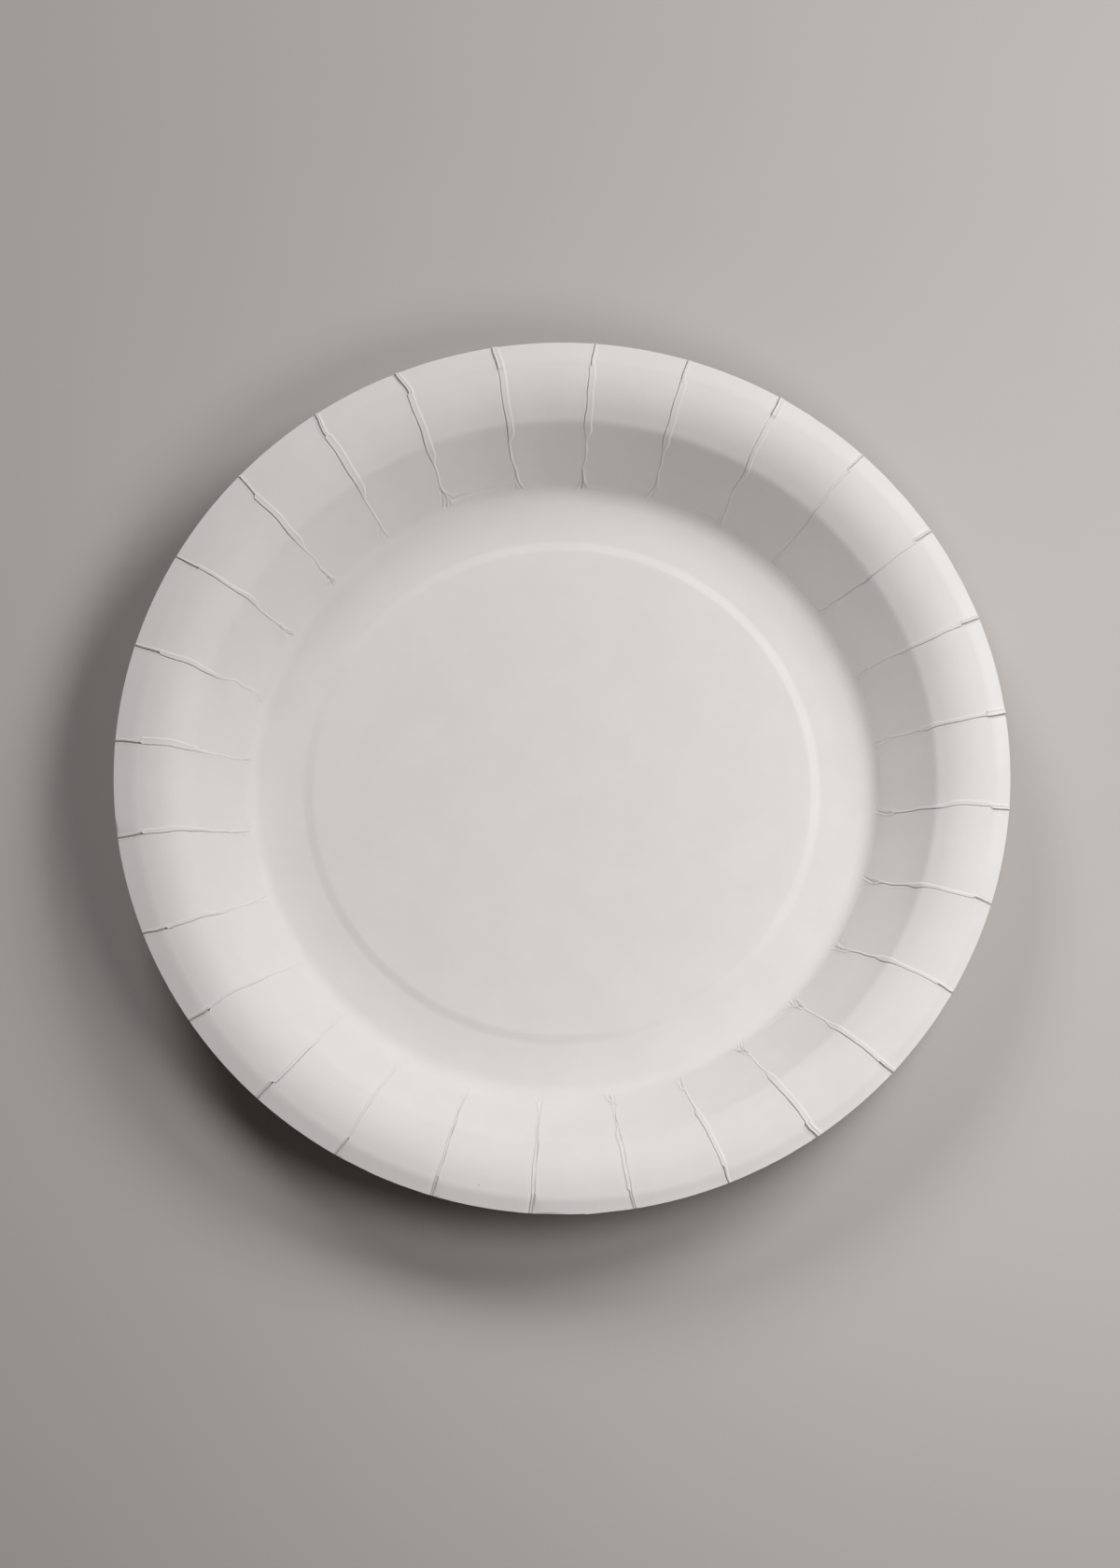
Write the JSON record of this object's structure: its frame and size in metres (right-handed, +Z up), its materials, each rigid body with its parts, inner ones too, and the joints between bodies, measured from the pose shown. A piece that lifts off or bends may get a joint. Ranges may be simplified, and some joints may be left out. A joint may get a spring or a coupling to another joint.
{
  "type": "paper plate",
  "caption": "Round pressed paperboard plate with a raised well floor, sloping wall and pleated, rolled-over rim.",
  "frame": {"origin": "centre of the plate on the table plane, the plane the standing ring rests on", "axes": "+Z up along the plate's axis, out of the well; +X from the centre out through the fold of one pleat; +Y by the right hand"},
  "size_m": [0.23, 0.23, 0.0231],
  "materials": {
    "paperboard": "white coated board, matt satin, faint fibre mottle"
  },
  "bodies": {
    "root": {"plate": "paperboard"}
  },
  "joints": []
}
